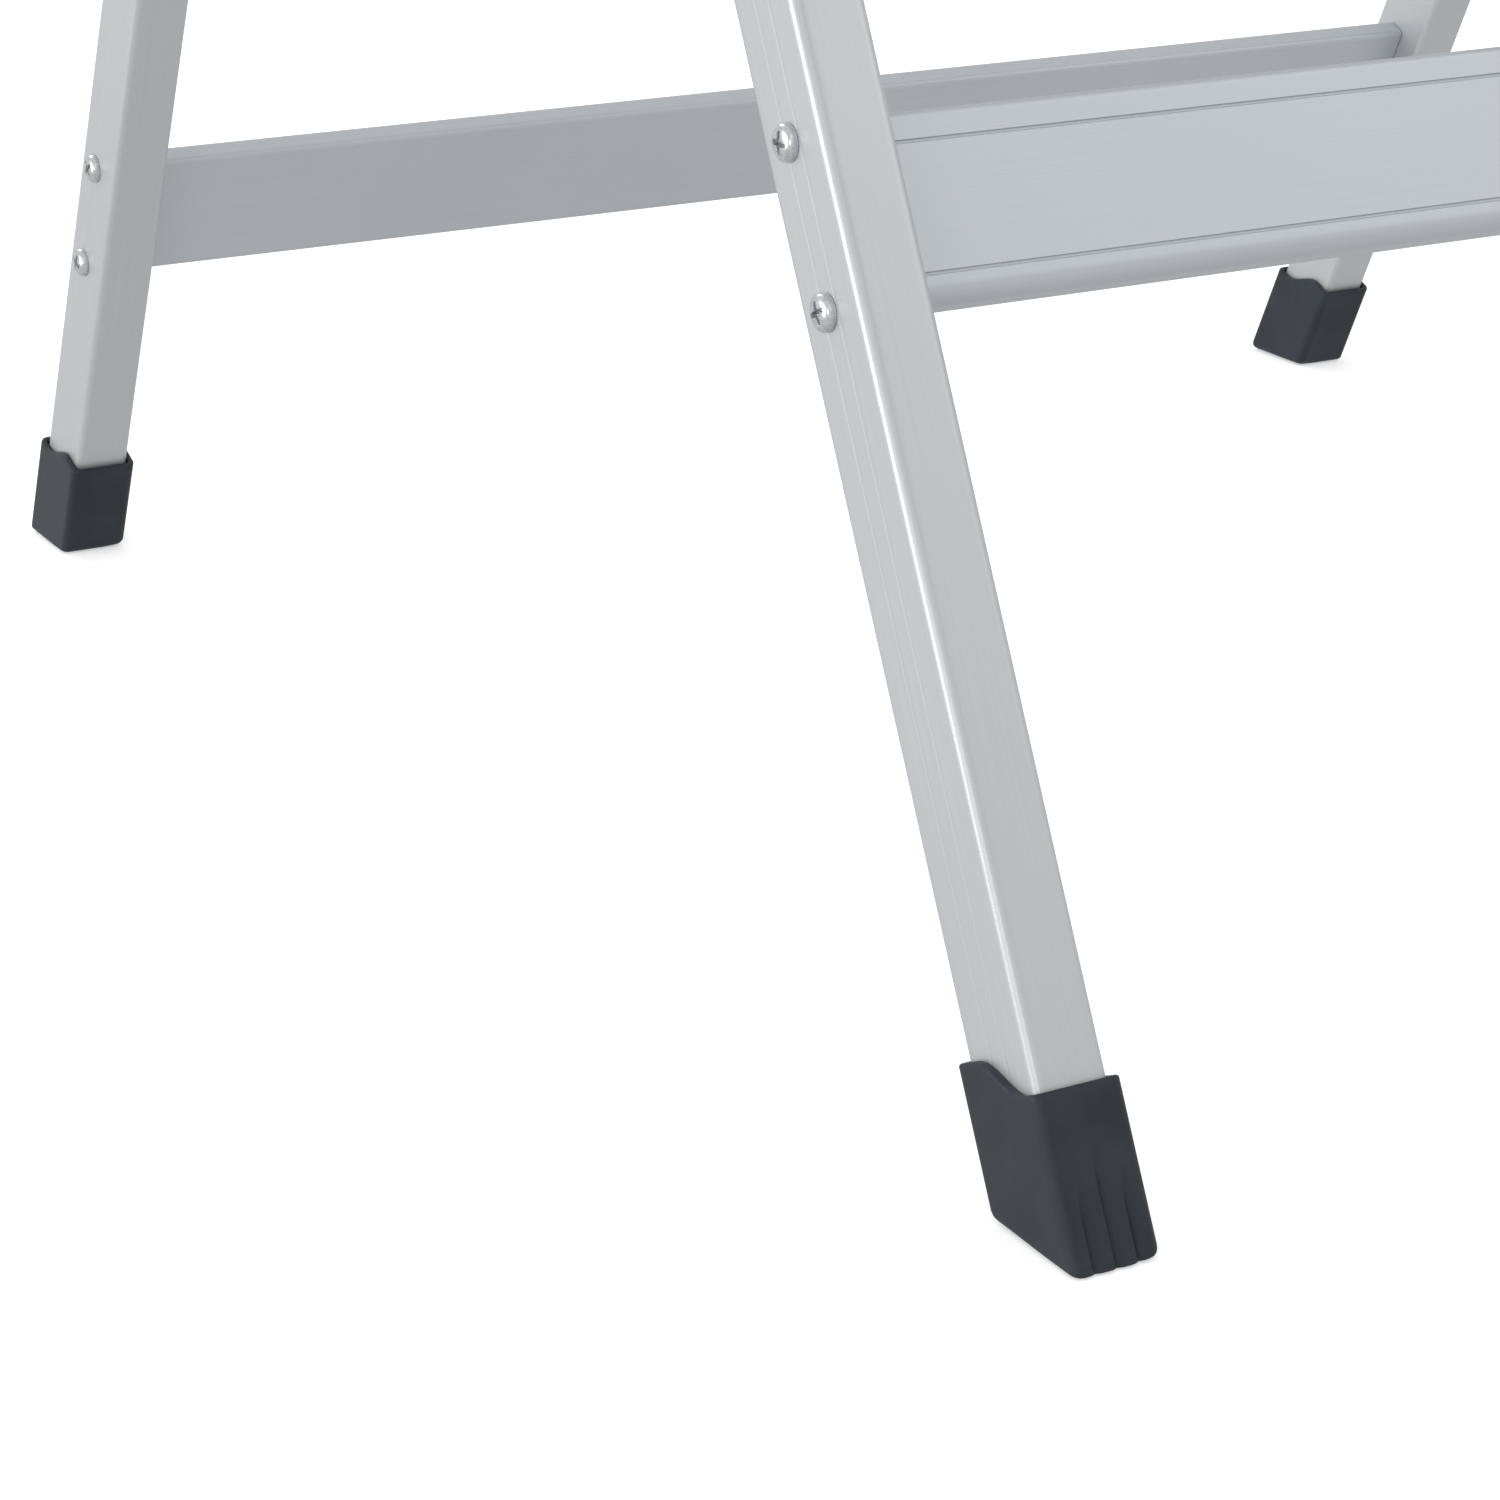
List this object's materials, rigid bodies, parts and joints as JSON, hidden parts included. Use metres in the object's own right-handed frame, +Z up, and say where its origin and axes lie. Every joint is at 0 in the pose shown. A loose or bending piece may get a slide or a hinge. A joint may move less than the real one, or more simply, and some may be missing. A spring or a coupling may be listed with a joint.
{
  "type": "folding ladder",
  "caption": "Low wide folding A-frame ladder with flat rungs, a ribbed top platform, a hinged rear frame, hook stays and moulded feet.",
  "frame": {"origin": "centre of the bounding box's underside, on the floor between the four feet", "axes": "+X across the ladder to its right, +Y from the front (climbing) frame to the rear frame, +Z up"},
  "size_m": [0.7672, 0.8684, 0.9093],
  "materials": {
    "stile": "satin extruded aluminium",
    "tread": "satin extruded aluminium with a faint lengthwise grain",
    "fitting": "pressed aluminium plate, lightly tumbled",
    "fastener": "bright zinc plate",
    "moulded": "dark slate moulded plastic, fine satin texture"
  },
  "bodies": {
    "front_frame": {"foot_front_left": "moulded", "foot_front_right": "moulded", "hinge_bolt_left": "fastener", "hinge_bolt_right": "fastener", "hinge_plate_inner_left": "fitting", "hinge_plate_inner_right": "fitting", "hinge_plate_outer_left": "fitting", "hinge_plate_outer_right": "fitting", "plate_rivet_left_1": "fastener", "plate_rivet_left_2": "fastener", "plate_rivet_right_1": "fastener", "plate_rivet_right_2": "fastener", "platform": "tread", "platform_cap_left": "moulded", "platform_cap_right": "moulded", "platform_screw_left_1": "fastener", "platform_screw_left_2": "fastener", "platform_screw_right_1": "fastener", "platform_screw_right_2": "fastener", "rung_lower": "tread", "rung_upper": "tread", "screw_front_left_1": "fastener", "screw_front_left_2": "fastener", "screw_front_left_3": "fastener", "screw_front_left_4": "fastener", "screw_front_right_1": "fastener", "screw_front_right_2": "fastener", "screw_front_right_3": "fastener", "screw_front_right_4": "fastener", "stay_rivet_left": "fastener", "stay_rivet_right": "fastener", "stile_front_left": "stile", "stile_front_right": "stile"},
    "rear_frame": {"brace_lower": "tread", "brace_upper": "tread", "foot_rear_left": "moulded", "foot_rear_right": "moulded", "plug_rear_left": "moulded", "plug_rear_right": "moulded", "screw_rear_left_1": "fastener", "screw_rear_left_2": "fastener", "screw_rear_left_3": "fastener", "screw_rear_left_4": "fastener", "screw_rear_right_1": "fastener", "screw_rear_right_2": "fastener", "screw_rear_right_3": "fastener", "screw_rear_right_4": "fastener", "stay_stud_left": "fastener", "stay_stud_right": "fastener", "stile_rear_left": "stile", "stile_rear_right": "stile"},
    "stay_left": {"stay_left": "fitting"},
    "stay_right": {"stay_right": "fitting"}
  },
  "joints": [
    {"name": "rear_fold", "type": "hinge", "parent": "front_frame", "child": "rear_frame", "pos_m": [0, 0.03039, 0.81654], "axis": [-1, 0, 0], "range_deg": [0, 50]},
    {"name": "stay_lift_left", "type": "hinge", "parent": "front_frame", "child": "stay_left", "pos_m": [-0.3282, -0.10403, 0.63499], "axis": [1, 0, 0], "range_deg": [0, 64]},
    {"name": "stay_lift_right", "type": "hinge", "parent": "front_frame", "child": "stay_right", "pos_m": [0.3282, -0.10403, 0.63499], "axis": [1, 0, 0], "range_deg": [0, 64]}
  ],
  "couplings": [
    {"joint": "stay_lift_left", "follows": "rear_fold", "ratio": 1.27},
    {"joint": "stay_lift_right", "follows": "rear_fold", "ratio": 1.27}
  ]
}
